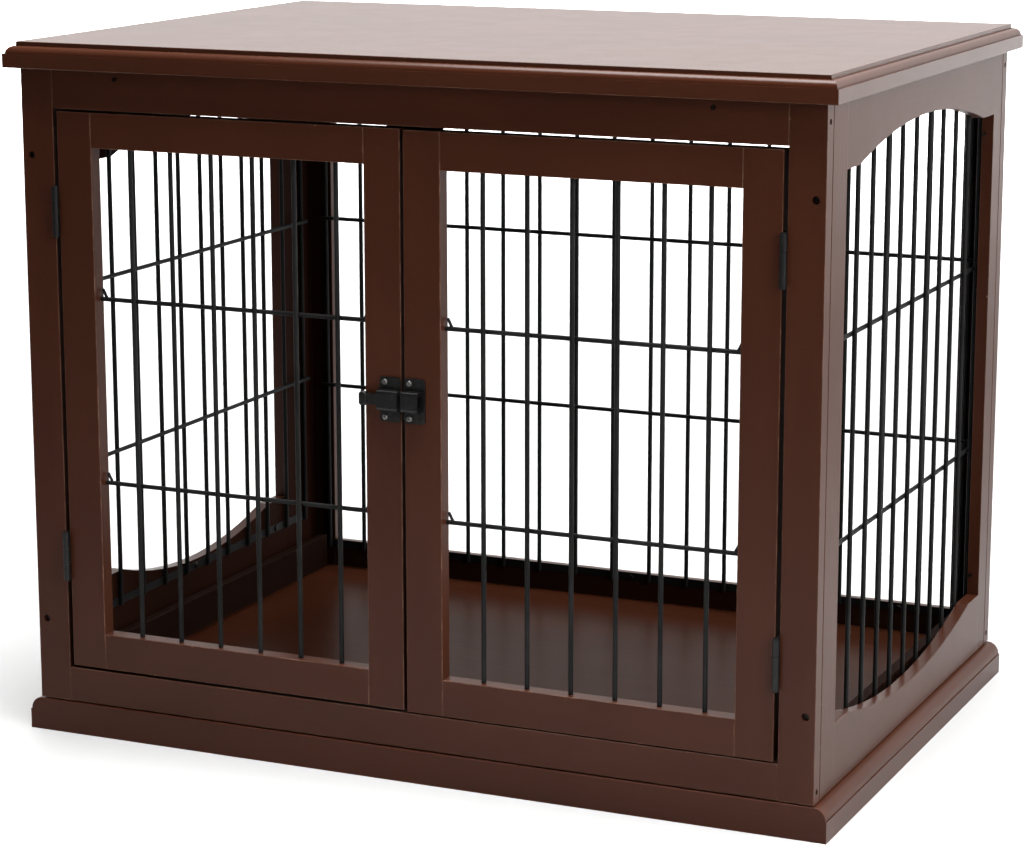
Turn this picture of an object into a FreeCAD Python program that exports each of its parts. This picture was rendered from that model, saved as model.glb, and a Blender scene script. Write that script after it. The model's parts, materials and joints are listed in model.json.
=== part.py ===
import FreeCAD, Part
import math
import os

# Dog crate end table. Millimetres. +X runs along the front to the right, +Y to the back, +Z up.
# The origin is on the floor, under the middle of the tabletop.

V = FreeCAD.Vector

# ---- overall sizes ----
top_w = 810.0             # tabletop, left to right
top_d = 585.0             # tabletop, front to back
total_h = 665.0           # floor to tabletop
side_overhang = 12.5      # tabletop and plinth stand this far out from the body at each side
front_overhang = 11.5     # tabletop stands this far out at the front and at the back
seat = 0.3                # gap between a piece and what it lies against
ease = 0.5                # small chamfer on the edges of the boards
groove = 1.1              # larger chamfer at the upright joint between frame and side panel
same = 0.01               # two places nearer than this are one

# ---- tabletop edge, from the bottom up ----
top_t = 24.0
top_band_h = 13.0         # straight band
top_ledge = 2.0           # ledge on the band
top_round_r = 7.0         # quarter round on the ledge
top_inset = 0.6           # flat beside the quarter round, before the last step up

# ---- plinth ----
plinth_h = 33.0
plinth_side_w = 25.0      # side boards, across
plinth_end_t = 17.0       # front and back boards, through
plinth_proud = 1.0        # front and back boards stand out from the frames
plinth_ledge = 1.0        # ledge between the band and the quarter round
plinth_step_h = 0.5       # straight step above the ledge
shadow_w = 3.0            # shadow gap under the body, inwards
shadow_h = 1.5            # shadow gap under the body, height

# ---- front frame ----
frame_t = 16.0            # thickness of the front and back frames
front_stile_w = 33.5
front_top_rail_h = 36.8
front_bottom_rail_h = 33.5

# ---- back frame ----
back_stile_w = 37.0
back_top_rail_h = 36.0
back_bottom_rail_h = 31.0

# ---- side panels ----
panel_t = 12.0
side_front_stile_w = 38.5
side_back_stile_w = 27.0
arch_rail_h = 37.0        # height of the top rail at the crown of its arch
side_bottom_rail_h = 34.5 # height of the bottom rail at the middle of its dip
arch_rise = 24.0
shoulder_w = 38.0         # level part of the rails, beside each stile
left_stile_extra = 43.0   # the left panel has wider stiles
left_rail_extra = 36.8    # and deeper rails

# ---- doors ----
hinge_gap = 4.0
centre_gap = 3.0
left_door_top_gap = 2.2
right_door_top_gap = 1.7
door_bottom_gap = 2.4
right_door_drop = 1.3     # the right door hangs a little lower
door_t = 15.5
door_stile_w = 36.0
left_door_top_rail_h = 33.0
right_door_top_rail_h = 34.5
door_bottom_rail_h = 34.5

# ---- wire grilles ----
wire_r = 2.25             # upright wires
cross_r = 2.1             # level wires
brace_r = 1.4
weld = 0.4                # how far two welded wires sink into each other
wire_hole_clear = 0.05
wire_hole_depth = 9.0     # how far the door wires go into the door frame
door_wire_pitch = 42.6
side_wire_pitch = 43.5
back_wire_pitch = 42.7
grille_margin = 15.0      # from a body grille's outer wire to the inner corner, at least
right_grille_shift = 5.0  # the right grille stands a little further back
left_grille_shift = -3.5  # the left grille a little further forward
back_grille_shift = 2.8   # the back grille a little to the right
left_door_shift = -2.8    # the left door's wires stand nearer to the meeting stile
right_door_shift = 3.7    # the right door's wires nearer to the hinges
left_door_cross_z = (426.5, 250.0)
right_door_cross_z = (424.6, 247.5)
back_cross_z = (430.6, 244.7)
right_cross_z = (424.0, 239.0)
left_cross_z = (428.6, 253.6)
bar_h = 8.0               # flat bars across the wire ends
bar_t = 1.0
bar_end = 5.0             # the bars run past the last wire
side_bar_lap = 6.0        # middle of the bar, past the edge of the side rail
back_bar_lap = 1.5        # middle of the bar, past the edge of the back rail
back_screw_lap = 1.5      # its screws, past the middle of the bar
brace_w = 6.5             # short brace at each end of a door's level wires
brace_h = 9.5

# ---- floor, lips, cleats and door stop ----
floor_rise = 4.0          # floor board, above the plinth
floor_t = 9.0
floor_gap = 1.0
lip_t = 10.0
left_lip_h = 36.0
right_lip_h = 30.0
floor_cleat_w = 16.0
floor_cleat_h = 15.0
top_cleat = 18.0
door_stop_w = 55.0
door_stop_t = 4.0
door_stop_reach = 14.0    # how far the stop hangs below the rail
door_stop_x = 5.0

# ---- hinges ----
hinge_len = 46.0
knuckle_r = 3.3
knuckle_gap = 0.3
pin_r = 1.5
pin_clear = 0.05
pin_head_r = 2.6
pin_head_h = 1.0
leaf_t = 1.2
leaf_reach = 14.0         # leaf, back from the front face
hinge_stand = 3.5         # hinge axis, out from the front face
right_hinge_z = (508.0, 156.5)
left_hinge_z = (508.5, 177.5)

# ---- latch ----
latch_z = 358.5
latch_plate_w = 20.5
latch_plate_h = 41.0
latch_plate_t = 1.5
latch_corner_r = 3.0
latch_edge = 0.4          # plates stop short of the door edges
housing_h = 19.0
housing_out = 8.0         # housing, out from the plate
housing_round_r = 3.0
keeper_w = 16.5
bolt_h = 10.0
bolt_t = 4.0
bolt_clear = 0.5
bolt_out = 3.5            # middle of the bolt, out from the plate
bolt_tip_back = 2.2       # tip of the drawn bolt, from the middle of the crate
bolt_bevel = 0.8
bolt_tail = 10.5          # bolt between housing and thumb piece, drawn
thumb_w = 8.0
thumb_h = 12.5
thumb_t = 8.0
thumb_round_r = 2.4
latch_screw_in = 5.3      # screws, from the left edge of each plate
latch_screw_dz = 16.0

# ---- screws: head radius and height, shank radius and length, depth that the head is sunk ----
# A head has a six-sided socket where hex_r is given, and a cross slot where slot_r is given.
frame_bolt = {"head_r": 3.2, "head_h": 2.2, "shank_r": 1.8, "length": 42.0, "sink_h": 2.2, "hex_r": 2.0}
stile_screw = {"head_r": 2.3, "head_h": 1.6, "shank_r": 1.5, "length": 46.0, "sink_h": 0.8, "slot_r": 1.5}
cleat_screw = {"head_r": 2.2, "head_h": 1.2, "shank_r": 1.4, "length": 26.0, "sink_h": 0.6, "slot_r": 1.4}
hinge_screw = {"cone_r": 2.6, "head_h": 1.2, "shank_r": 1.4, "length": 16.0, "sink_h": 0.0, "slot_r": 1.3}
latch_screw = {"head_r": 2.6, "head_h": 1.6, "shank_r": 1.4, "length": 12.0, "sink_h": 0.0, "slot_r": 1.6}
bar_screw = {"head_r": 3.2, "head_h": 1.6, "shank_r": 1.4, "length": 10.0, "sink_h": 0.0, "slot_r": 1.7}
slot_w = 0.7
slot_depth = 0.6          # depth of a slot or socket, as a part of the head's height
head_round = 0.45         # rounding of a head's rim, as a part of its height
hole_clear = 0.06
head_clear = 0.4
frame_bolt_in = 9.0       # from the side of the crate
frame_bolt_top = 81.0     # from the underside of the tabletop
frame_bolt_bottom = 79.0  # from the plinth
stile_screw_top = 16.0
stile_screw_bottom = 10.0
cleat_screw_x = 291.5
cleat_screw_down = 7.5

# ---- worked out from the sizes above ----
half_w = top_w / 2 - side_overhang
half_d = top_d / 2 - front_overhang
body_top = total_h - top_t
front_y = -half_d
frame_back_y = front_y + frame_t
panel_in_x = half_w - panel_t
opening_x = half_w - front_stile_w
floor_top = plinth_h + floor_rise
opening_low = plinth_h + front_bottom_rail_h
opening_high = body_top - front_top_rail_h
door_in_x = centre_gap / 2
door_out_x = opening_x - hinge_gap
door_back_y = front_y + door_t
door_mid_y = front_y + door_t / 2
hinge_x = opening_x - hinge_gap / 2
hinge_y = front_y - hinge_stand
plinth_round_r = side_overhang - plinth_ledge
plinth_band_h = plinth_h - shadow_h - plinth_round_r - plinth_step_h
cross_off = wire_r + cross_r - weld
grille_room = bar_t + wire_r * 2 + cross_r * 2 - weld * 2 + seat * 2

nodes = {}
screws = {}               # node: its screws, as (place, direction, kind)
holes = []                # (shape to cut away, node that fills it)
hinge_pins = []


# ---- shapes ----
def box(x0, x1, y0, y1, z0, z1):
    return Part.makeBox(x1 - x0, y1 - y0, z1 - z0, V(x0, y0, z0))


def board(x0, x1, y0, y1, z0, z1):
    plain = box(x0, x1, y0, y1, z0, z1)
    return plain.makeChamfer(ease, plain.Edges)


def rod(start, end, radius):
    run = end - start
    return Part.makeCylinder(radius, run.Length, start, run)


def mirrored(shape):
    return shape.mirror(V(0, 0, 0), V(1, 0, 0))


def turned_to_back(shape):
    return shape.mirror(V(0, 0, 0), V(0, 1, 0))


def on_side(shape, side):
    if side > 0:
        return shape
    return mirrored(shape)


def joined(shapes):
    return shapes[0].multiFuse(shapes[1:]).removeSplitter()


def edges_at(shape, test):
    return [edge for edge in shape.Edges if test(edge.CenterOfMass)]


# ---- screws and their holes ----
def unit(direction):
    axis = V(direction)
    axis.normalize()
    return axis


# What a driver fits in: sunk along Z from the origin, then turned to the screw's direction.
def recess(at, axis, kind):
    depth = kind["head_h"] * slot_depth
    if "hex_r" in kind:
        turns = [math.radians(60 * i) for i in range(7)]
        corners = [V(math.cos(turn), math.sin(turn), 0) * kind["hex_r"] for turn in turns]
        hollow = Part.Face(Part.makePolygon(corners)).extrude(V(0, 0, depth))
    else:
        arm = kind["slot_r"]
        half = slot_w / 2
        hollow = box(-arm, arm, -half, half, 0, depth).fuse(box(-half, half, -arm, arm, 0, depth))
    hollow.Placement = FreeCAD.Placement(at, FreeCAD.Rotation(V(0, 0, 1), axis))
    return hollow


def screw(at, into, kind):
    axis = unit(into)
    head_out = at + axis * kind["sink_h"]
    head_in = head_out + axis * kind["head_h"]
    shank = rod(head_in, head_in + axis * kind["length"], kind["shank_r"])
    if "cone_r" in kind:
        head = Part.makeCone(kind["cone_r"], kind["shank_r"], kind["head_h"], head_out, axis)
    else:
        head = rod(head_out, head_in, kind["head_r"])
        rim = [edge for edge in head.Edges if edge.Closed and (edge.CenterOfMass - head_out).Length < same]
        head = head.makeFillet(kind["head_h"] * head_round, rim)
    return head.fuse(shank).cut(recess(head_out, axis, kind))


def drill(at, into, kind, name):
    axis = unit(into)
    bottom = at + axis * (kind["sink_h"] + kind["head_h"])
    shank_end = bottom + axis * (kind["length"] + hole_clear)
    hole_r = kind["shank_r"] + hole_clear
    holes.append((rod(at, shank_end, hole_r), name))
    if kind["sink_h"] > 0:
        holes.append((rod(at, bottom, kind["head_r"] + head_clear), name))
    if "cone_r" in kind:
        mouth_r = kind["cone_r"] + hole_clear
        holes.append((Part.makeCone(mouth_r, hole_r, kind["head_h"], at, axis), name))


def add_screws(name, places, into, kind):
    screws.setdefault(name, [])
    screws[name] += [(at, V(into), kind) for at in places]


def make_screws():
    for name in screws:
        nodes[name] = Part.makeCompound([screw(at, into, kind) for at, into, kind in screws[name]])
        for at, into, kind in screws[name]:
            drill(at, into, kind, name)


def cut_holes():
    for name in nodes:
        if name in screws:
            continue
        space = nodes[name].BoundBox
        near = [tool for tool, owner in holes if owner != name and tool.BoundBox.intersect(space)]
        if near:
            nodes[name] = nodes[name].cut(near)


# ---- tabletop ----
def make_tabletop():
    half_x = top_w / 2
    half_y = top_d / 2
    ledge_z = body_top + top_band_h
    band = box(-half_x, half_x, -half_y, half_y, body_top, ledge_z)
    band = band.makeChamfer(ease, edges_at(band, lambda c: c.z < body_top + same))
    mid_x = half_x - top_ledge
    mid_y = half_y - top_ledge
    mid_z = ledge_z + top_round_r
    middle = box(-mid_x, mid_x, -mid_y, mid_y, body_top + ease, mid_z)
    middle = middle.makeFillet(top_round_r, edges_at(middle, lambda c: c.z > mid_z - same))
    step = top_ledge + top_round_r + top_inset
    cap_x = half_x - step
    cap_y = half_y - step
    cap = box(-cap_x, cap_x, -cap_y, cap_y, body_top + ease, total_h)
    cap = cap.makeChamfer(ease, edges_at(cap, lambda c: c.z > total_h - same))
    nodes["tabletop"] = joined([band, middle, cap])


# ---- plinth ----
# Section across a side board: band, ledge, quarter round, and a shadow gap under the body.
def plinth_section(inner):
    outer = top_w / 2
    top_z = plinth_h - shadow_h
    round_z = top_z - plinth_round_r
    bend = math.sqrt(0.5) * plinth_round_r
    start = V(outer - plinth_ledge, 0, round_z)
    middle = V(half_w + bend, 0, round_z + bend)
    end = V(half_w, 0, top_z)
    corners = [end, V(half_w - shadow_w, 0, top_z), V(half_w - shadow_w, 0, plinth_h)]
    corners += [V(inner, 0, plinth_h), V(inner, 0, 0), V(outer, 0, 0), V(outer, 0, plinth_band_h)]
    corners += [V(outer - plinth_ledge, 0, plinth_band_h), start]
    steps = [(a, b) for a, b in zip(corners, corners[1:]) if (b - a).Length > same]
    edges = [Part.makeLine(a, b) for a, b in steps]
    edges.append(Part.Arc(start, middle, end).toShape())
    return Part.Face(Part.Wire(edges))


def make_plinth():
    board_front = front_y - plinth_proud
    board_back = board_front + plinth_end_t
    side = plinth_section(top_w / 2 - plinth_side_w).extrude(V(0, -board_back * 2, 0))
    side.translate(V(0, board_back, 0))
    nodes["plinth_right"] = side
    nodes["plinth_left"] = mirrored(side)
    half = plinth_section(0).extrude(V(0, plinth_end_t, 0))
    half.translate(V(0, board_front, 0))
    front = joined([half, mirrored(half)])
    gap_back = front_y + shadow_w
    shadow = box(-half_w, half_w, board_front, gap_back, plinth_h - shadow_h, plinth_h)
    front = front.cut(shadow)
    arris_z = plinth_h - shadow_h
    arris = edges_at(front, lambda c: abs(c.y - board_front) < same and abs(c.z - arris_z) < same)
    front = front.makeFillet(plinth_proud * 0.9, arris)
    nodes["plinth_front"] = front
    nodes["plinth_back"] = turned_to_back(front)


# ---- front and back frames ----
# An upright board has one larger chamfer, at the joint between frame and side panel.
def upright(x0, x1, y0, y1, joint_y):
    plain = box(x0, x1, y0, y1, plinth_h, body_top)
    middle_z = (plinth_h + body_top) / 2
    long_edges = edges_at(plain, lambda c: abs(c.z - middle_z) < same)
    joint = [e for e in long_edges if abs(e.CenterOfMass.x - half_w) < same and
             abs(e.CenterOfMass.y - joint_y) < same]
    corners = [e.CenterOfMass for e in long_edges if abs(e.CenterOfMass.x - half_w) > same]
    bevelled = plain.makeChamfer(groove, joint)
    rest = edges_at(bevelled, lambda c: min((c - corner).Length for corner in corners) < same)
    return bevelled.makeChamfer(ease, rest)


def make_frames():
    stile = upright(opening_x, half_w, front_y, frame_back_y, frame_back_y)
    nodes["front_stile_right"] = stile
    nodes["front_stile_left"] = mirrored(stile)
    x = opening_x
    nodes["front_top_rail"] = board(-x, x, front_y, frame_back_y, opening_high, body_top)
    nodes["front_bottom_rail"] = board(-x, x, front_y, frame_back_y, plinth_h, opening_low)
    x = half_w - back_stile_w
    stile = upright(x, half_w, -frame_back_y, half_d, -frame_back_y)
    nodes["back_stile_right"] = stile
    nodes["back_stile_left"] = mirrored(stile)
    rail_low = body_top - back_top_rail_h
    rail_high = plinth_h + back_bottom_rail_h
    nodes["back_top_rail"] = board(-x, x, -frame_back_y, half_d, rail_low, body_top)
    nodes["back_bottom_rail"] = board(-x, x, -frame_back_y, half_d, plinth_h, rail_high)


# ---- side panels ----
def arched_rail(y0, y1, flat_z, shoulder_z, crown_z):
    x = panel_in_x
    corners = [V(x, y0 + shoulder_w, shoulder_z), V(x, y0, shoulder_z), V(x, y0, flat_z)]
    corners += [V(x, y1, flat_z), V(x, y1, shoulder_z), V(x, y1 - shoulder_w, shoulder_z)]
    edges = [Part.makeLine(a, b) for a, b in zip(corners, corners[1:])]
    crown = V(x, (y0 + y1) / 2, crown_z)
    edges.append(Part.Arc(corners[-1], crown, corners[0]).toShape())
    rail = Part.Face(Part.Wire(edges)).extrude(V(panel_t, 0, 0))
    arcs = [edge for edge in rail.Edges if edge.Curve.TypeId == "Part::GeomCircle"]
    return rail.makeChamfer(ease, arcs)


def make_side_panel(name, side, stile_extra, rail_extra, grille_shift, cross_z):
    front = frame_back_y
    back = -frame_back_y
    y0 = front + side_front_stile_w + stile_extra
    y1 = back - side_back_stile_w - stile_extra
    crown = body_top - arch_rail_h - rail_extra
    dip = plinth_h + side_bottom_rail_h + rail_extra
    pieces = {"_front_stile": upright(panel_in_x, half_w, front, y0, front)}
    pieces["_back_stile"] = upright(panel_in_x, half_w, y1, back, back)
    pieces["_arch_rail"] = arched_rail(y0, y1, body_top, crown - arch_rise, crown)
    pieces["_bottom_rail"] = arched_rail(y0, y1, plinth_h, dip + arch_rise, dip)
    for piece in pieces:
        nodes[name + piece] = on_side(pieces[piece], side)
    make_side_grille(name, side, dip - side_bar_lap, crown + side_bar_lap, grille_shift, cross_z)


# ---- grilles of the body ----
def wire_places(count, pitch):
    return [pitch * (i - (count - 1) / 2) for i in range(count)]


# An even number of wires, as many as fit between two corners that are this far from the middle.
def body_wires(half_room, pitch):
    pairs = int((half_room - grille_margin) / pitch + 0.5)
    return wire_places(pairs * 2, pitch)


# One screw near each end of a bar and one near its middle, each between two wires.
def bar_screw_places(wires):
    gaps = [(a + b) / 2 for a, b in zip(wires, wires[1:])]
    return [gaps[1], gaps[len(gaps) // 2], gaps[-2]]


# A grille stands in the XZ plane, its bars on Y = 0 and its wires welded behind them.
def grille(wires, low, high, crosses):
    reach = wires[-1] + bar_end
    bars = [box(-reach, reach, 0, bar_t, z - bar_h / 2, z + bar_h / 2) for z in (low, high)]
    y = bar_t + wire_r - weld
    uprights = [rod(V(x, y, low - bar_h / 2), V(x, y, high + bar_h / 2), wire_r) for x in wires]
    y += cross_off
    level = [rod(V(-reach, y, z), V(reach, y, z), cross_r) for z in crosses]
    return joined(bars + uprights + level)


def make_side_grille(name, side, low, high, shift, cross_z):
    wires = body_wires(-frame_back_y, side_wire_pitch)
    panel = grille(wires, low, high, cross_z)
    panel.rotate(V(0, 0, 0), V(0, 0, 1), 90)
    panel.translate(V(panel_in_x - seat, shift, 0))
    nodes[name + "_grille"] = on_side(panel, side)
    face = panel_in_x - seat - bar_t - bar_screw["head_h"]
    places = [V(side * face, y + shift, z) for y in bar_screw_places(wires) for z in (low, high)]
    add_screws("grille_screws", places, (side, 0, 0), bar_screw)


def make_back_grille():
    low = plinth_h + back_bottom_rail_h - back_bar_lap
    high = body_top - back_top_rail_h + back_bar_lap
    wires = body_wires(panel_in_x, back_wire_pitch)
    panel = grille(wires, low, high, back_cross_z)
    panel.rotate(V(0, 0, 0), V(0, 0, 1), 180)
    panel.translate(V(back_grille_shift, -frame_back_y - seat, 0))
    nodes["back_grille"] = panel
    face = -frame_back_y - seat - bar_t - bar_screw["head_h"]
    heights = (low - back_screw_lap, high + back_screw_lap)
    places = [V(x + back_grille_shift, face, z) for x in bar_screw_places(wires) for z in heights]
    add_screws("grille_screws", places, (0, 1, 0), bar_screw)


# ---- floor, lips, cleats and door stop ----
def make_floor():
    inner = top_w / 2 - plinth_side_w
    under = floor_top - floor_t
    y = -frame_back_y - floor_gap
    x = inner - floor_gap
    nodes["floor_board"] = board(-x, x, -y, y, under, floor_top)
    cleat = box(inner - floor_cleat_w, inner, -y, y, under - floor_cleat_h, under)
    nodes["floor_cleats"] = Part.makeCompound([cleat, mirrored(cleat)])
    x = panel_in_x - grille_room
    back_y = -frame_back_y - grille_room
    for name, side, lip_h in (("right", 1, right_lip_h), ("left", -1, left_lip_h)):
        lip = board(x - lip_t, x, -y, back_y, floor_top, floor_top + lip_h)
        nodes["floor_lip_" + name] = on_side(lip, side)


def make_top_cleats():
    low = body_top - top_cleat
    x = panel_in_x - seat
    y = frame_back_y + top_cleat
    front = box(-x, x, frame_back_y, y, low, body_top)
    nodes["top_cleat_front"] = front
    nodes["top_cleat_back"] = turned_to_back(front)
    right = box(x - top_cleat, x, y, -y, low, body_top)
    nodes["top_cleat_right"] = right
    nodes["top_cleat_left"] = mirrored(right)
    x0 = door_stop_x - door_stop_w / 2
    x1 = door_stop_x + door_stop_w / 2
    stop_low = opening_high - door_stop_reach
    nodes["door_stop"] = board(x0, x1, frame_back_y, frame_back_y + door_stop_t, stop_low, low)


# ---- doors ----
def make_door(name, side, drop, top_gap, top_rail_h, shift, cross_z):
    low = opening_low + door_bottom_gap - drop
    high = opening_high - top_gap - drop
    y0 = front_y
    y1 = door_back_y
    x0 = door_in_x + door_stile_w
    x1 = door_out_x - door_stile_w
    z0 = low + door_bottom_rail_h
    z1 = high - top_rail_h
    pieces = {"_meeting_stile": board(door_in_x, x0, y0, y1, low, high)}
    pieces["_hinge_stile"] = board(x1, door_out_x, y0, y1, low, high)
    pieces["_bottom_rail"] = board(x0, x1, y0, y1, low, z0)
    pieces["_top_rail"] = board(x0, x1, y0, y1, z1, high)
    for piece in pieces:
        nodes[name + piece] = on_side(pieces[piece], side)
    nodes[name + "_grille"] = door_grille(name + "_grille", side, x0, x1, z0, z1, shift, cross_z)


def door_grille(name, side, x0, x1, z0, z1, shift, cross_z):
    middle = (x0 + x1) / 2 + shift
    wires = []
    for x in wire_places(int((x1 - x0) / door_wire_pitch), door_wire_pitch):
        start = V(middle + x, door_mid_y, z0 - wire_hole_depth)
        wires.append((start, start + V(0, 0, z1 - z0 + wire_hole_depth * 2), wire_r))
    y = door_mid_y + cross_off
    for z in cross_z:
        start = V(x0 - wire_hole_depth, y, z)
        wires.append((start, start + V(x1 - x0 + wire_hole_depth * 2, 0, 0), cross_r))
    for start, end, radius in wires:
        holes.append((on_side(rod(start, end, radius + wire_hole_clear), side), name))
    braces = []
    for z in cross_z:
        for x, inward in ((x0, 1), (x1, -1)):
            foot = V(x + inward * brace_w, y, z)
            head = V(x + inward * (brace_r + seat), y, z + brace_h)
            braces.append(rod(foot, head, brace_r))
    return on_side(joined([rod(*wire) for wire in wires] + braces), side)


# ---- hinges ----
def knuckle(z0, z1, radius):
    return rod(V(hinge_x, hinge_y, z0), V(hinge_x, hinge_y, z1), radius)


# A leaf's plate is cut back round the other leaf's knuckles.
def hinge_leaf(x0, x1, low, high, own, others):
    plate = box(x0, x1, hinge_y, front_y + leaf_reach, low, high)
    plate = plate.cut([knuckle(z0, z1, knuckle_r + knuckle_gap) for z0, z1 in others])
    leaf = joined([plate] + [knuckle(z0, z1, knuckle_r) for z0, z1 in own])
    return leaf.cut(knuckle(low - pin_clear, high + pin_clear, pin_r + pin_clear))


def hinge_pin(low, high):
    bottom = low - pin_clear
    top = high + pin_clear
    ends = [knuckle(bottom - pin_head_h, bottom, pin_head_r), knuckle(top, top + pin_head_h, pin_head_r)]
    return joined([knuckle(bottom, top, pin_r)] + ends)


def make_hinges(name, side, heights):
    frame_leaves = []
    door_leaves = []
    third = hinge_len / 3
    y = front_y + leaf_reach / 2
    x_frame = opening_x - leaf_t
    x_door = door_out_x + leaf_t
    for z in heights:
        low = z - hinge_len / 2
        high = z + hinge_len / 2
        z0 = low + third
        z1 = high - third
        outer = [(low, z0 - knuckle_gap), (z1 + knuckle_gap, high)]
        beside = [(low - knuckle_gap, z0), (z1, high + knuckle_gap)]
        between = [(z0 - knuckle_gap, z1 + knuckle_gap)]
        frame_leaves.append(hinge_leaf(x_frame, opening_x, low, high, outer, between))
        door_leaves.append(hinge_leaf(door_out_x, x_door, low, high, [(z0, z1)], beside))
        hinge_pins.append(on_side(hinge_pin(low, high), side))
        frame_places = [V(side * x_frame, y, z - third), V(side * x_frame, y, z + third)]
        door_places = [V(side * x_door, y, z - third), V(side * x_door, y, z + third)]
        add_screws("hinge_frame_screws", frame_places, (side, 0, 0), hinge_screw)
        add_screws(name + "_door_hinge_screws", door_places, (-side, 0, 0), hinge_screw)
    nodes[name + "_hinge_frame_leaves"] = on_side(Part.makeCompound(frame_leaves), side)
    nodes[name + "_hinge_door_leaves"] = on_side(Part.makeCompound(door_leaves), side)


# ---- latch ----
# A plate with a housing that the flat bolt slides through.
def latch_body(x0, x1, housing_x1):
    plate_y = front_y - latch_plate_t
    face_y = plate_y - housing_out
    plate = box(x0, x1, plate_y, front_y, latch_z - latch_plate_h / 2, latch_z + latch_plate_h / 2)
    corners = [edge for edge in plate.Edges if edge.Length < latch_plate_t + same]
    plate = plate.makeFillet(latch_corner_r, corners)
    housing = box(x0, housing_x1, face_y, front_y, latch_z - housing_h / 2, latch_z + housing_h / 2)
    face = edges_at(housing, lambda c: abs(c.y - face_y) < same)
    ridges = [edge for edge in face if abs(edge.CenterOfMass.z - latch_z) > same]
    housing = housing.makeFillet(housing_round_r, ridges)
    y = plate_y - bolt_out
    room_y = bolt_t / 2 + bolt_clear
    room_z = bolt_h / 2 + bolt_clear
    channel = box(x0, housing_x1, y - room_y, y + room_y, latch_z - room_z, latch_z + room_z)
    return joined([plate, housing]).cut(channel)


def latch_bolt(plate_x):
    y = front_y - latch_plate_t - bolt_out
    thumb_x = plate_x - bolt_tail
    z0 = latch_z - bolt_h / 2
    z1 = latch_z + bolt_h / 2
    bar = box(thumb_x - thumb_w / 2, -bolt_tip_back, y - bolt_t / 2, y + bolt_t / 2, z0, z1)
    bar = bar.makeChamfer(bolt_bevel, edges_at(bar, lambda c: abs(c.x + bolt_tip_back) < same))
    z0 = latch_z - thumb_h / 2
    z1 = latch_z + thumb_h / 2
    thumb = box(thumb_x - thumb_w, thumb_x, y - thumb_t / 2, y + thumb_t / 2, z0, z1)
    thumb = thumb.makeFillet(thumb_round_r, thumb.Edges)
    return joined([bar, thumb])


def make_latch():
    plate_x1 = -door_in_x - latch_edge
    plate_x0 = plate_x1 - latch_plate_w
    keeper_x0 = door_in_x + latch_edge
    nodes["latch_plate"] = latch_body(plate_x0, plate_x1, plate_x1)
    nodes["latch_keeper"] = latch_body(keeper_x0, keeper_x0 + latch_plate_w, keeper_x0 + keeper_w)
    nodes["latch_bolt"] = latch_bolt(plate_x0)
    y = front_y - latch_plate_t - latch_screw["head_h"]
    for name, x in (("latch_plate_screws", plate_x0), ("latch_keeper_screws", keeper_x0)):
        places = [V(x + latch_screw_in, y, latch_z + dz) for dz in (-latch_screw_dz, latch_screw_dz)]
        add_screws(name, places, (0, 1, 0), latch_screw)


# ---- screws of the body ----
def make_frame_screws():
    bolt_x = half_w - frame_bolt_in
    bolt_z = (plinth_h + frame_bolt_bottom, body_top - frame_bolt_top)
    edge_z = (plinth_h + stile_screw_bottom, body_top - stile_screw_top)
    edge_y = half_d - frame_t / 2
    rail_z = body_top - cleat_screw_down
    for back in (-1, 1):
        bolts = [V(x, back * half_d, z) for x in (-bolt_x, bolt_x) for z in bolt_z]
        add_screws("frame_bolts", bolts, (0, -back, 0), frame_bolt)
        rail = [V(x, back * half_d, rail_z) for x in (-cleat_screw_x, cleat_screw_x)]
        add_screws("cleat_screws", rail, (0, -back, 0), cleat_screw)
        for side in (-1, 1):
            edge = [V(side * half_w, back * edge_y, z) for z in edge_z]
            add_screws("stile_screws", edge, (-side, 0, 0), stile_screw)


def save():
    os.makedirs("parts", exist_ok=True)
    for name in sorted(nodes):
        nodes[name].exportStep("parts/" + name + ".step")


make_tabletop()
make_plinth()
make_frames()
make_side_panel("right", 1, 0, 0, right_grille_shift, right_cross_z)
make_side_panel("left", -1, left_stile_extra, left_rail_extra, left_grille_shift, left_cross_z)
make_back_grille()
make_floor()
make_top_cleats()
make_door("left_door", -1, 0, left_door_top_gap, left_door_top_rail_h, left_door_shift,
          left_door_cross_z)
make_door("right_door", 1, right_door_drop, right_door_top_gap, right_door_top_rail_h, right_door_shift,
          right_door_cross_z)
make_hinges("left", -1, left_hinge_z)
make_hinges("right", 1, right_hinge_z)
make_latch()
make_frame_screws()
make_screws()
nodes["hinge_pins"] = Part.makeCompound(hinge_pins)
cut_holes()
save()
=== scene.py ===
import json
import math

import bpy
from mathutils import Matrix, Vector


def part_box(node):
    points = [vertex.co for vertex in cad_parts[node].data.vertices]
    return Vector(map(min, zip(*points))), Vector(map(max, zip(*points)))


# Dog crate end table. Metres, +X along the front to the right, +Y to the back, +Z up.

# ---- the camera, in pixels of a 1024 x 845 picture ----
PICTURE_W = 1024
PICTURE_H = 845
FOCAL_PX = 3020.6
MIDDLE_PX = (510.2, 422.9)   # where the camera's axis meets the picture
CAMERA_AT = Vector((1.1717, -2.6565, 0.9062))
CAMERA_AZIMUTH = 24.18
CAMERA_DIP = 12.12
CAMERA_ROLL = -0.04
SENSOR_W = 36.0

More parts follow.
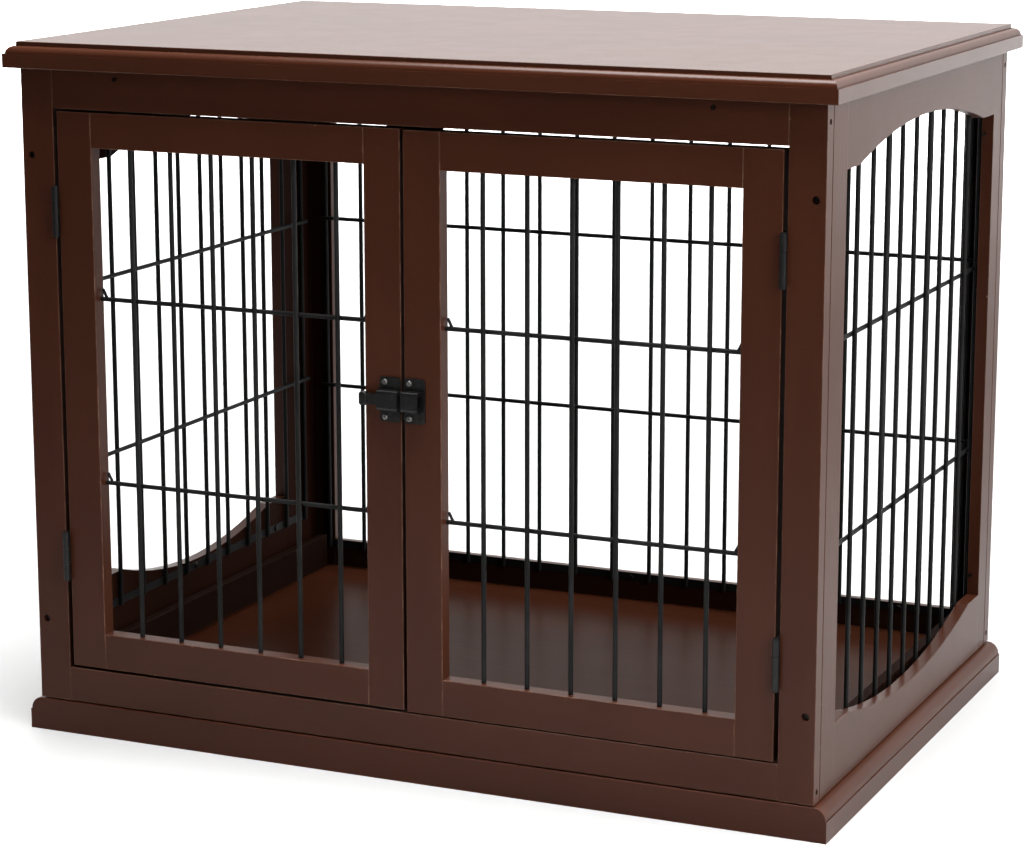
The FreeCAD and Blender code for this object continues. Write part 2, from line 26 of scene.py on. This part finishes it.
# ---- light ----
FLOOR_SIZE = 60.0
WORLD_TINT = (1.0, 0.99, 0.98, 1.0)
WORLD_BACK = 1.25            # brightness of the surroundings behind the object
WORLD_FRONT = 0.05           # in front of it
WORLD_TOP = 0.12             # and overhead
WORLD_TURN = (-0.5, 0.6)     # direction along Y between which the front turns into the back
WORLD_RISE = (0.35, 0.8)     # direction along Z between which the sides turn into the top
LAMPS = {                    # name: place, what it points at, width, height, spread, watts
    "lamp_top": ((0.1, 0.0, 2.4), (0.1, 0.0, 0.0), 1.8, 1.8, 85.0, 50.0),
    "lamp_right": ((2.5, 0.6, 1.7), (0.38, 0.0, 0.33), 1.6, 1.6, 100.0, 21.0),
    "lamp_front": ((1.60, -0.95, 1.05), (0.0, -0.28, 0.35), 0.8, 0.8, 100.0, 8.0),
    "lamp_near": ((0.2, -0.85, 2.0), (0.2, -0.85, 0.0), 1.4, 0.7, 45.0, 7.5),
    "lamp_left": ((-1.5, 1.5, 2.6), (-1.5, 1.3, 0.0), 1.4, 1.4, 75.0, 22.0),
    "lamp_floor": ((-5.0, 9.0, 5.0), (-5.0, 9.0, 0.0), 14.0, 11.0, 85.0, 5200.0),
}

# ---- colours, linear ----
BROWN = (0.040, 0.0115, 0.0052, 1.0)
BROWN_INNER = (0.022, 0.0075, 0.0042, 1.0)
# painted shade: the dark brown that inner faces and gap faces are pulled toward
BROWN_PAINTED_SHADE = (0.003, 0.0015, 0.0010, 1.0)
# pale edge colour: partly wear, partly a painted highlight along the arrises
BROWN_WORN_AND_HIGHLIGHT = (0.160, 0.085, 0.055, 1.0)
BARE_WOOD = (0.32, 0.20, 0.12, 1.0)
WIRE_BLACK = (0.004, 0.004, 0.004, 1.0)
WIRE_GREY = (0.009, 0.009, 0.009, 1.0)
IRON_BLACK = (0.004, 0.0037, 0.0036, 1.0)
IRON_WORN = (0.045, 0.040, 0.037, 1.0)
SCREW_DARK = (0.030, 0.024, 0.021, 1.0)
SCREW_BRIGHT = (0.30, 0.29, 0.28, 1.0)
FLOOR_WHITE = (0.45, 0.45, 0.45, 1.0)

# ---- gloss, as refractive indices ----
PAINT_IOR = 1.22
TOP_IOR = 1.3
FLOOR_BOARD_IOR = 1.08
WIRE_IOR = 1.22
IRON_IOR = 1.32
PAPER_IOR = 1.2
SPECULAR = 0.5

# ---- paint: waves per metre of its patterns, and depths in metres ----
GRAIN_ACROSS = 420.0
GRAIN_ALONG = 9.0
BAND_ACROSS = 26.0
BAND_ALONG = 3.0
CLOUD_WAVES = 7.0
RUB_AND_HIGHLIGHT_WAVES = 60.0
FLAKE_WAVES = 230.0
GLOSS_WAVES = 30.0
PEEL_WAVES = 650.0
DARKEST = 0.90               # mottling, as parts of the colour
LIGHTEST = 1.12
ARRIS_WIDTH = 0.0009         # worn line along the edges of the boards, partly a painted highlight
CHIP_REACH = 2.4             # chips reach this many of those widths from an edge
CHIP_RANGE = (0.775, 0.80)   # fewer chips with higher numbers
GRAIN_DEPTH = 0.00012
PEEL_DEPTH = 0.00006
CHIP_DEPTH = 0.0002

# ---- inner faces of the boards, and faces across a narrow gap from another board: duller, and darkened with painted shade ----
PAINTED_SHADE_PART = 0.65           # how far their colour goes to the painted shade
DULL_ROUGHNESS = 0.3         # how much rougher they are
DULL_SPECULAR = 0.4          # and how much less they shine
FACE_SLACK = 0.0003          # how far from its plane a face still counts
GAP_FACES = {                # node: axis of each such face, and 0 for its low side or 1 for its high side
    "front_stile_left": ((0, 1),),
    "front_stile_right": ((0, 0),),
    "front_top_rail": ((2, 0),),
    "front_bottom_rail": ((2, 1),),
    "left_door_hinge_stile": ((0, 0), (2, 0), (2, 1)),
    "left_door_meeting_stile": ((0, 1), (2, 0), (2, 1)),
    "left_door_top_rail": ((2, 1),),
    "left_door_bottom_rail": ((2, 0),),
    "right_door_hinge_stile": ((0, 1), (2, 0), (2, 1)),
    "right_door_meeting_stile": ((0, 0), (2, 0), (2, 1)),
    "right_door_top_rail": ((2, 1),),
    "right_door_bottom_rail": ((2, 0),),
}

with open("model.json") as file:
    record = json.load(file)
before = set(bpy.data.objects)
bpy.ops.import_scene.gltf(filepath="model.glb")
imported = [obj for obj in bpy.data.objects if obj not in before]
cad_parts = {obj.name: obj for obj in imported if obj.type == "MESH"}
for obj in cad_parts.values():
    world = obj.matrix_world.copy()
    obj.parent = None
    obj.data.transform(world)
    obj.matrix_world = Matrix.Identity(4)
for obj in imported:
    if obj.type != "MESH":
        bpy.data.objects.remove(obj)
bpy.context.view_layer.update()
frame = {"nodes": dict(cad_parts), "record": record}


def scaled(colour, part):
    return tuple(channel * part for channel in colour[:3]) + (1.0,)


# ---- shading nodes ----
class Nodes:
    """Nodes that are made one by one in one tree."""

    def __init__(self, tree):
        self.tree = tree

    def node(self, kind, **settings):
        made = self.tree.nodes.new(kind)
        for key, value in settings.items():
            setattr(made, key, value)
        return made

    def feed(self, node, socket, value):
        if isinstance(value, bpy.types.NodeSocket):
            self.tree.links.new(value, node.inputs[socket])
        else:
            node.inputs[socket].default_value = value

    def split(self, vector):
        made = self.node("ShaderNodeSeparateXYZ")
        self.feed(made, 0, vector)
        return made.outputs

    def ramp(self, value, low, high, start=0.0, end=1.0):
        made = self.node("ShaderNodeMapRange", interpolation_type="SMOOTHSTEP")
        for socket, number in zip(("Value", "From Min", "From Max", "To Min", "To Max"),
                                  (value, low, high, start, end)):
            self.feed(made, socket, number)
        return made.outputs["Result"]


class Finish(Nodes):
    """A material."""

    def __init__(self, name):
        self.material = bpy.data.materials.new(name)
        self.material.use_nodes = True
        super().__init__(self.material.node_tree)
        self.shader = self.tree.nodes["Principled BSDF"]
        self.place = self.node("ShaderNodeTexCoord").outputs["Object"]

    def math(self, operation, *values):
        made = self.node("ShaderNodeMath", operation=operation)
        for i, value in enumerate(values):
            self.feed(made, i, value)
        return made.outputs[0]

    def vector_math(self, operation, *values):
        made = self.node("ShaderNodeVectorMath", operation=operation)
        for i, value in enumerate(values):
            self.feed(made, i, value)
        return made.outputs[0]

    def noise(self, waves, detail=3.0, roughness=0.5, shift=0.0):
        """Noise of so many waves per metre, given as one number or along X, Y and Z."""
        if isinstance(waves, float):
            waves = (waves, waves, waves)
        moved = self.vector_math("ADD", self.place, (shift, shift * 0.7, shift * 1.3))
        made = self.node("ShaderNodeTexNoise")
        self.feed(made, "Vector", self.vector_math("MULTIPLY", moved, waves))
        self.feed(made, "Scale", 1.0)
        self.feed(made, "Detail", detail)
        self.feed(made, "Roughness", roughness)
        return made.outputs["Fac"]

    def mix(self, factor, first, second):
        made = self.node("ShaderNodeMix", data_type="RGBA")
        self.feed(made, 0, factor)
        self.feed(made, 6, first)
        self.feed(made, 7, second)
        return made.outputs[2]

    def bump(self, height, distance, below=None):
        made = self.node("ShaderNodeBump")
        self.feed(made, "Strength", 1.0)
        self.feed(made, "Distance", distance)
        self.feed(made, "Height", height)
        if below is not None:
            self.feed(made, "Normal", below)
        return made.outputs["Normal"]

    def set(self, **values):
        for socket, value in values.items():
            self.feed(self.shader, socket.replace("_", " "), value)


# ---- paint on the boards ----
def edge_distance(finish, low, high):
    """How far a point on a board's face is from the nearest edge of the board."""
    place = finish.split(finish.place)
    gaps = []
    for axis in range(3):
        from_low = finish.math("SUBTRACT", place[axis], low[axis])
        from_high = finish.math("SUBTRACT", high[axis], place[axis])
        gaps.append(finish.math("MINIMUM", from_low, from_high))
    x, y, z = gaps
    least_xy = finish.math("MINIMUM", x, y)
    most_xy = finish.math("MAXIMUM", x, y)
    return finish.math("MAXIMUM", least_xy, finish.math("MINIMUM", most_xy, z))


def dull_faces_with_painted_shade(finish, node, low, high):
    """1 on the faces that are dull and darkened with painted shade, 0 elsewhere."""
    inner_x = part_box("right_front_stile")[0][0] + FACE_SLACK
    inner_y = FACE_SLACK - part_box("left_door_top_rail")[1][1]
    inner_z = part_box("tabletop")[0][2] + FACE_SLACK
    place = finish.split(finish.place)
    in_x = finish.math("LESS_THAN", finish.math("ABSOLUTE", place[0]), inner_x)
    in_y = finish.math("LESS_THAN", finish.math("ABSOLUTE", place[1]), inner_y)
    in_z = finish.math("LESS_THAN", place[2], inner_z)
    dull_and_shaded = finish.math("MULTIPLY", finish.math("MULTIPLY", in_x, in_y), in_z)
    for axis, end in GAP_FACES.get(node, ()):
        face = (low, high)[end][axis]
        away = finish.math("ABSOLUTE", finish.math("SUBTRACT", place[axis], face))
        dull_and_shaded = finish.math("MAXIMUM", dull_and_shaded, finish.math("LESS_THAN", away, FACE_SLACK))
    return dull_and_shaded


def paint(node, base, roughness, worn, ior=PAINT_IOR):
    """Satin paint over wood: grain along the board, soft mottling, chipped edges, and worn edges with a
    painted highlight along them; inner faces and gap faces get painted shade.
    """
    low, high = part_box(node)
    size = high - low
    along = max(range(3), key=lambda axis: size[axis])
    finish = Finish("paint_" + node)
    shift = sum(ord(letter) for letter in node) * 0.137
    grain = [GRAIN_ACROSS] * 3
    grain[along] = GRAIN_ALONG
    band = [BAND_ACROSS] * 3
    band[along] = BAND_ALONG
    fibres = finish.noise(grain, 4.0, 0.55, shift)
    bands = finish.noise(band, 3.0, 0.5, shift)
    clouds = finish.noise(CLOUD_WAVES, 2.0, 0.5, shift)
    shade = finish.math("MULTIPLY", finish.math("ADD", bands, clouds), 0.5)
    colour = finish.mix(finish.ramp(shade, 0.3, 0.7), scaled(base, DARKEST), scaled(base, LIGHTEST))

    gap = edge_distance(finish, low, high)
    rub_and_highlight = finish.noise(RUB_AND_HIGHLIGHT_WAVES, 4.0, 0.6, shift)
    arris = finish.ramp(gap, ARRIS_WIDTH * 0.35, ARRIS_WIDTH, 1.0, 0.0)
    rubbed_and_highlight = finish.math("MULTIPLY", arris, finish.ramp(rub_and_highlight, 0.42, 0.66, 0.25, 1.0))
    # the pale line along the edges is partly wear and partly a painted highlight
    colour = finish.mix(finish.math("MULTIPLY", rubbed_and_highlight, worn), colour, BROWN_WORN_AND_HIGHLIGHT)
    flakes = finish.noise(FLAKE_WAVES, 2.0, 0.4, shift + 5.0)
    near = finish.ramp(gap, ARRIS_WIDTH, ARRIS_WIDTH * CHIP_REACH, 1.0, 0.0)
    chip = finish.math("MULTIPLY", near, finish.ramp(flakes, *CHIP_RANGE))
    colour = finish.mix(chip, colour, BARE_WOOD)

    gloss = finish.noise(GLOSS_WAVES, 4.0, 0.6, shift + 9.0)
    peel = finish.noise(PEEL_WAVES, 1.0, 0.4, shift)
    surface = finish.bump(fibres, GRAIN_DEPTH)
    surface = finish.bump(peel, PEEL_DEPTH, surface)
    surface = finish.bump(finish.math("SUBTRACT", 1.0, chip), CHIP_DEPTH, surface)
    matt = finish.ramp(gloss, 0.3, 0.7, roughness * 0.98, roughness * 1.03)
    if node != "floor_board":
        dull_and_shaded = dull_faces_with_painted_shade(finish, node, low, high)
        # painted shade: faces inside the crate and faces across narrow gaps are darkened
        colour = finish.mix(finish.math("MULTIPLY", dull_and_shaded, PAINTED_SHADE_PART), colour, BROWN_PAINTED_SHADE)
        matt = finish.math("ADD", matt, finish.math("MULTIPLY", dull_and_shaded, DULL_ROUGHNESS))
        shine = finish.math("SUBTRACT", SPECULAR, finish.math("MULTIPLY", dull_and_shaded, DULL_SPECULAR))
        finish.set(Specular_IOR_Level=shine)
    finish.set(Base_Color=colour, Roughness=matt, IOR=ior, Normal=surface)
    return finish.material


# ---- metal ----
def wire_coat():
    """Black powder coat with a fine orange peel."""
    finish = Finish("wire_coat")
    speck = finish.noise(900.0, 2.0, 0.5)
    cloud = finish.noise(20.0, 3.0, 0.5)
    colour = finish.mix(finish.ramp(cloud, 0.35, 0.7), WIRE_BLACK, WIRE_GREY)
    matt = finish.ramp(speck, 0.3, 0.7, 0.44, 0.56)
    finish.set(Base_Color=colour, Roughness=matt, IOR=WIRE_IOR, Normal=finish.bump(speck, 0.00012))
    return finish.material


def iron(name, roughness, worn):
    """Black enamelled iron, a little rubbed."""
    finish = Finish(name)
    scuff = finish.noise((260.0, 260.0, 90.0), 5.0, 0.65)
    speck = finish.noise(1500.0, 2.0, 0.5)
    colour = finish.mix(finish.ramp(scuff, 0.52, 0.78, 0.0, worn), IRON_BLACK, IRON_WORN)
    matt = finish.ramp(speck, 0.3, 0.7, roughness - 0.06, roughness + 0.08)
    finish.set(Base_Color=colour, Roughness=matt, IOR=IRON_IOR, Normal=finish.bump(speck, 0.00005))
    return finish.material


def screw_steel(name, colour, roughness):
    """Plated steel with turning marks."""
    finish = Finish(name)
    marks = finish.noise(2400.0, 3.0, 0.6)
    stain = finish.noise(300.0, 3.0, 0.5)
    shade = finish.mix(finish.ramp(stain, 0.35, 0.7), scaled(colour, 0.6), colour)
    matt = finish.ramp(marks, 0.3, 0.7, roughness - 0.06, roughness + 0.1)
    finish.set(Base_Color=shade, Metallic=1.0, Roughness=matt, Normal=finish.bump(marks, 0.00004))
    return finish.material


# ---- a finish for every node ----
PAINTS = {                   # slot: colour, roughness, wear and painted highlight of the edges, and gloss where it isn't PAINT_IOR
    "top_wood": (BROWN, 0.24, 0.5, TOP_IOR),
    "frame_wood": (BROWN, 0.33, 0.6),
    "panel_wood": (BROWN, 0.33, 0.5),
    "door_wood": (BROWN, 0.33, 0.8),
    "plinth_wood": (BROWN, 0.33, 0.5),
    "floor_wood": (BROWN, 0.30, 0.3, FLOOR_BOARD_IOR),
    "inner_wood": (BROWN_INNER, 0.42, 0.3),
}


def dress_nodes():
    slots = {part["node"]: part["material_slot"] for part in frame["record"]["subparts"]}
    metals = {"wire": wire_coat(), "hinge_metal": iron("hinge_iron", 0.40, 0.25),
              "latch_metal": iron("latch_iron", 0.30, 0.4),
              "screw_metal": screw_steel("screw_steel", SCREW_DARK, 0.45),
              "latch_screw_metal": screw_steel("latch_screw_steel", SCREW_BRIGHT, 0.30)}
    for name, node in frame["nodes"].items():
        slot = slots[name]
        material = metals[slot] if slot in metals else paint(name, *PAINTS[slot])
        for i in range(len(node.material_slots)):
            node.material_slots[i].material = material


# ---- floor, surroundings, lamps and camera ----
def lay_floor():
    half = FLOOR_SIZE / 2
    corners = [(-half, -half, 0), (half, -half, 0), (half, half, 0), (-half, half, 0)]
    mesh = bpy.data.meshes.new("floor")
    mesh.from_pydata(corners, [], [(0, 1, 2, 3)])
    floor = bpy.data.objects.new("floor", mesh)
    bpy.context.scene.collection.objects.link(floor)
    finish = Finish("floor_paper")
    finish.set(Base_Color=FLOOR_WHITE, Roughness=0.9, IOR=PAPER_IOR)
    mesh.materials.append(finish.material)


def light_world():
    """Surroundings that are brightest low down behind the object."""
    world = bpy.data.worlds.new("studio")
    bpy.context.scene.world = world
    world.use_nodes = True
    nodes = Nodes(world.node_tree)
    direction = nodes.split(nodes.node("ShaderNodeTexCoord").outputs["Generated"])
    around = nodes.ramp(direction["Y"], *WORLD_TURN, WORLD_FRONT, WORLD_BACK)
    background = world.node_tree.nodes["Background"]
    nodes.feed(background, "Strength", nodes.ramp(direction["Z"], *WORLD_RISE, around, WORLD_TOP))
    nodes.feed(background, "Color", WORLD_TINT)


def hang_lamps():
    for name, (place, target, width, height, spread, watts) in LAMPS.items():
        data = bpy.data.lights.new(name, "AREA")
        data.shape = "RECTANGLE"
        data.size = width
        data.size_y = height
        data.spread = math.radians(spread)
        data.energy = watts
        lamp = bpy.data.objects.new(name, data)
        lamp.location = place
        lamp.rotation_euler = (Vector(target) - Vector(place)).to_track_quat("-Z", "Y").to_euler()
        bpy.context.scene.collection.objects.link(lamp)


def place_camera():
    data = bpy.data.cameras.new("camera")
    data.sensor_width = SENSOR_W
    data.lens = FOCAL_PX * SENSOR_W / PICTURE_W
    data.shift_x = (PICTURE_W / 2 - MIDDLE_PX[0]) / PICTURE_W
    data.shift_y = (MIDDLE_PX[1] - PICTURE_H / 2) / PICTURE_W
    azimuth = math.radians(CAMERA_AZIMUTH)
    dip = math.radians(CAMERA_DIP)
    level = math.cos(dip)
    right = Vector((math.cos(azimuth), math.sin(azimuth), 0.0))
    ahead = Vector((-math.sin(azimuth) * level, math.cos(azimuth) * level, -math.sin(dip)))
    above = right.cross(ahead)
    turn = Matrix((right, above, -ahead)).transposed().to_4x4()
    roll = Matrix.Rotation(math.radians(CAMERA_ROLL), 4, "Z")
    camera = bpy.data.objects.new("camera", data)
    camera.matrix_world = Matrix.Translation(CAMERA_AT) @ turn @ roll
    bpy.context.scene.collection.objects.link(camera)
    bpy.context.scene.camera = camera
    bpy.context.scene.view_settings.view_transform = "Standard"


dress_nodes()
lay_floor()
light_world()
hang_lamps()
place_camera()
